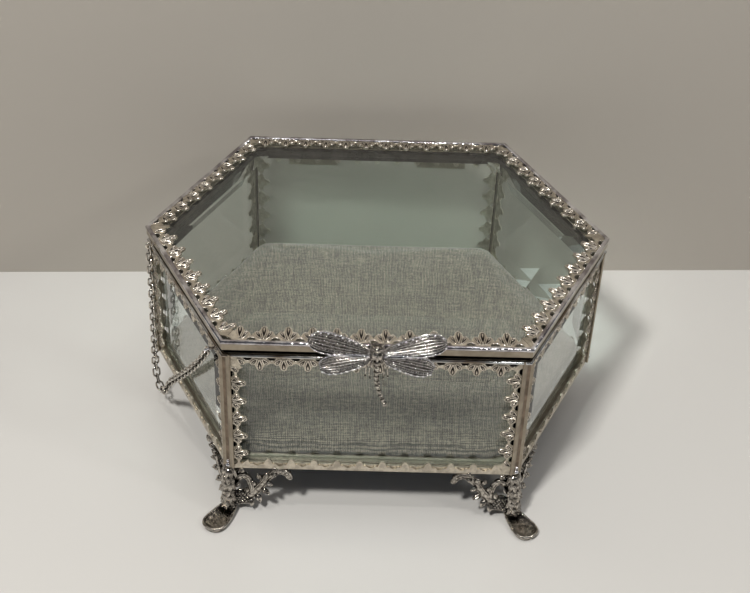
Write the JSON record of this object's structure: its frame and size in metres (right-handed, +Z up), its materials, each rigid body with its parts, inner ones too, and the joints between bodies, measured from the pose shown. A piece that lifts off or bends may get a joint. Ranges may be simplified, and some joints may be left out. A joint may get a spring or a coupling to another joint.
{
  "type": "glass casket box",
  "caption": "Hinged hexagonal display casket: bevelled panes in a metal frame with stamped lace trim, scroll feet, a lid chain and a linen cushion.",
  "frame": {"origin": "on the table under the middle of the box", "axes": "+X to the right along the front edge, -Y out of the front wall, +Z up"},
  "size_m": [0.1841, 0.1648, 0.0925],
  "materials": {
    "nickel": "bright nickel plate with a warm grey cast, worn darker in the hollows",
    "dark_nickel": "smooth nickel plate, darker where it is shaded",
    "pane": "clear bevelled glass with a green edge",
    "linen": "plain-woven grey-beige linen",
    "board": "stiff grey board",
    "felt": "short dark felt",
    "stone": "small clear cut stones"
  },
  "bodies": {
    "casket": {"floor_plate": "dark_nickel", "underside_felt": "felt", "lining_board": "board", "lining_cushion": "linen", "lower_rim": "nickel", "upper_rim": "dark_nickel", "pane_front": "pane", "pane_front_right": "pane", "pane_back_right": "pane", "pane_back": "pane", "pane_back_left": "pane", "pane_front_left": "pane", "post_front_left": "nickel", "post_front_right": "nickel", "post_right": "nickel", "post_back_right": "nickel", "post_back_left": "nickel", "post_left": "nickel", "lace_front": "nickel", "lace_front_right": "nickel", "lace_back_right": "nickel", "lace_back": "nickel", "lace_back_left": "nickel", "lace_front_left": "nickel", "foot_front_left": "nickel", "foot_front_right": "nickel", "foot_back_right": "nickel", "foot_back_left": "nickel", "foot_screws": "dark_nickel", "wall_leaf_left": "dark_nickel", "wall_leaf_right": "dark_nickel", "hinge_pin_left": "nickel", "hinge_pin_right": "nickel", "wall_leaf_rivets": "nickel", "chain_wall_eye": "nickel", "chain": "nickel"},
    "lid": {"lid_frame": "dark_nickel", "lid_pane": "pane", "lid_lace_front": "nickel", "lid_lace_front_right": "nickel", "lid_lace_back_right": "nickel", "lid_lace_back": "nickel", "lid_lace_back_left": "nickel", "lid_lace_front_left": "nickel", "lid_leaf_left": "dark_nickel", "lid_leaf_right": "dark_nickel", "dragonfly_body": "nickel", "dragonfly_wings": "nickel", "dragonfly_stones": "stone", "dragonfly_stud": "dark_nickel", "chain_lid_eye": "nickel"}
  },
  "joints": [
    {"name": "lid_hinge", "type": "hinge", "parent": "casket", "child": "lid", "pos_m": [0, 0.0727, 0.08065], "axis": [-1, 0, 0], "range_deg": [0, 89], "deforming": ["chain"]}
  ]
}
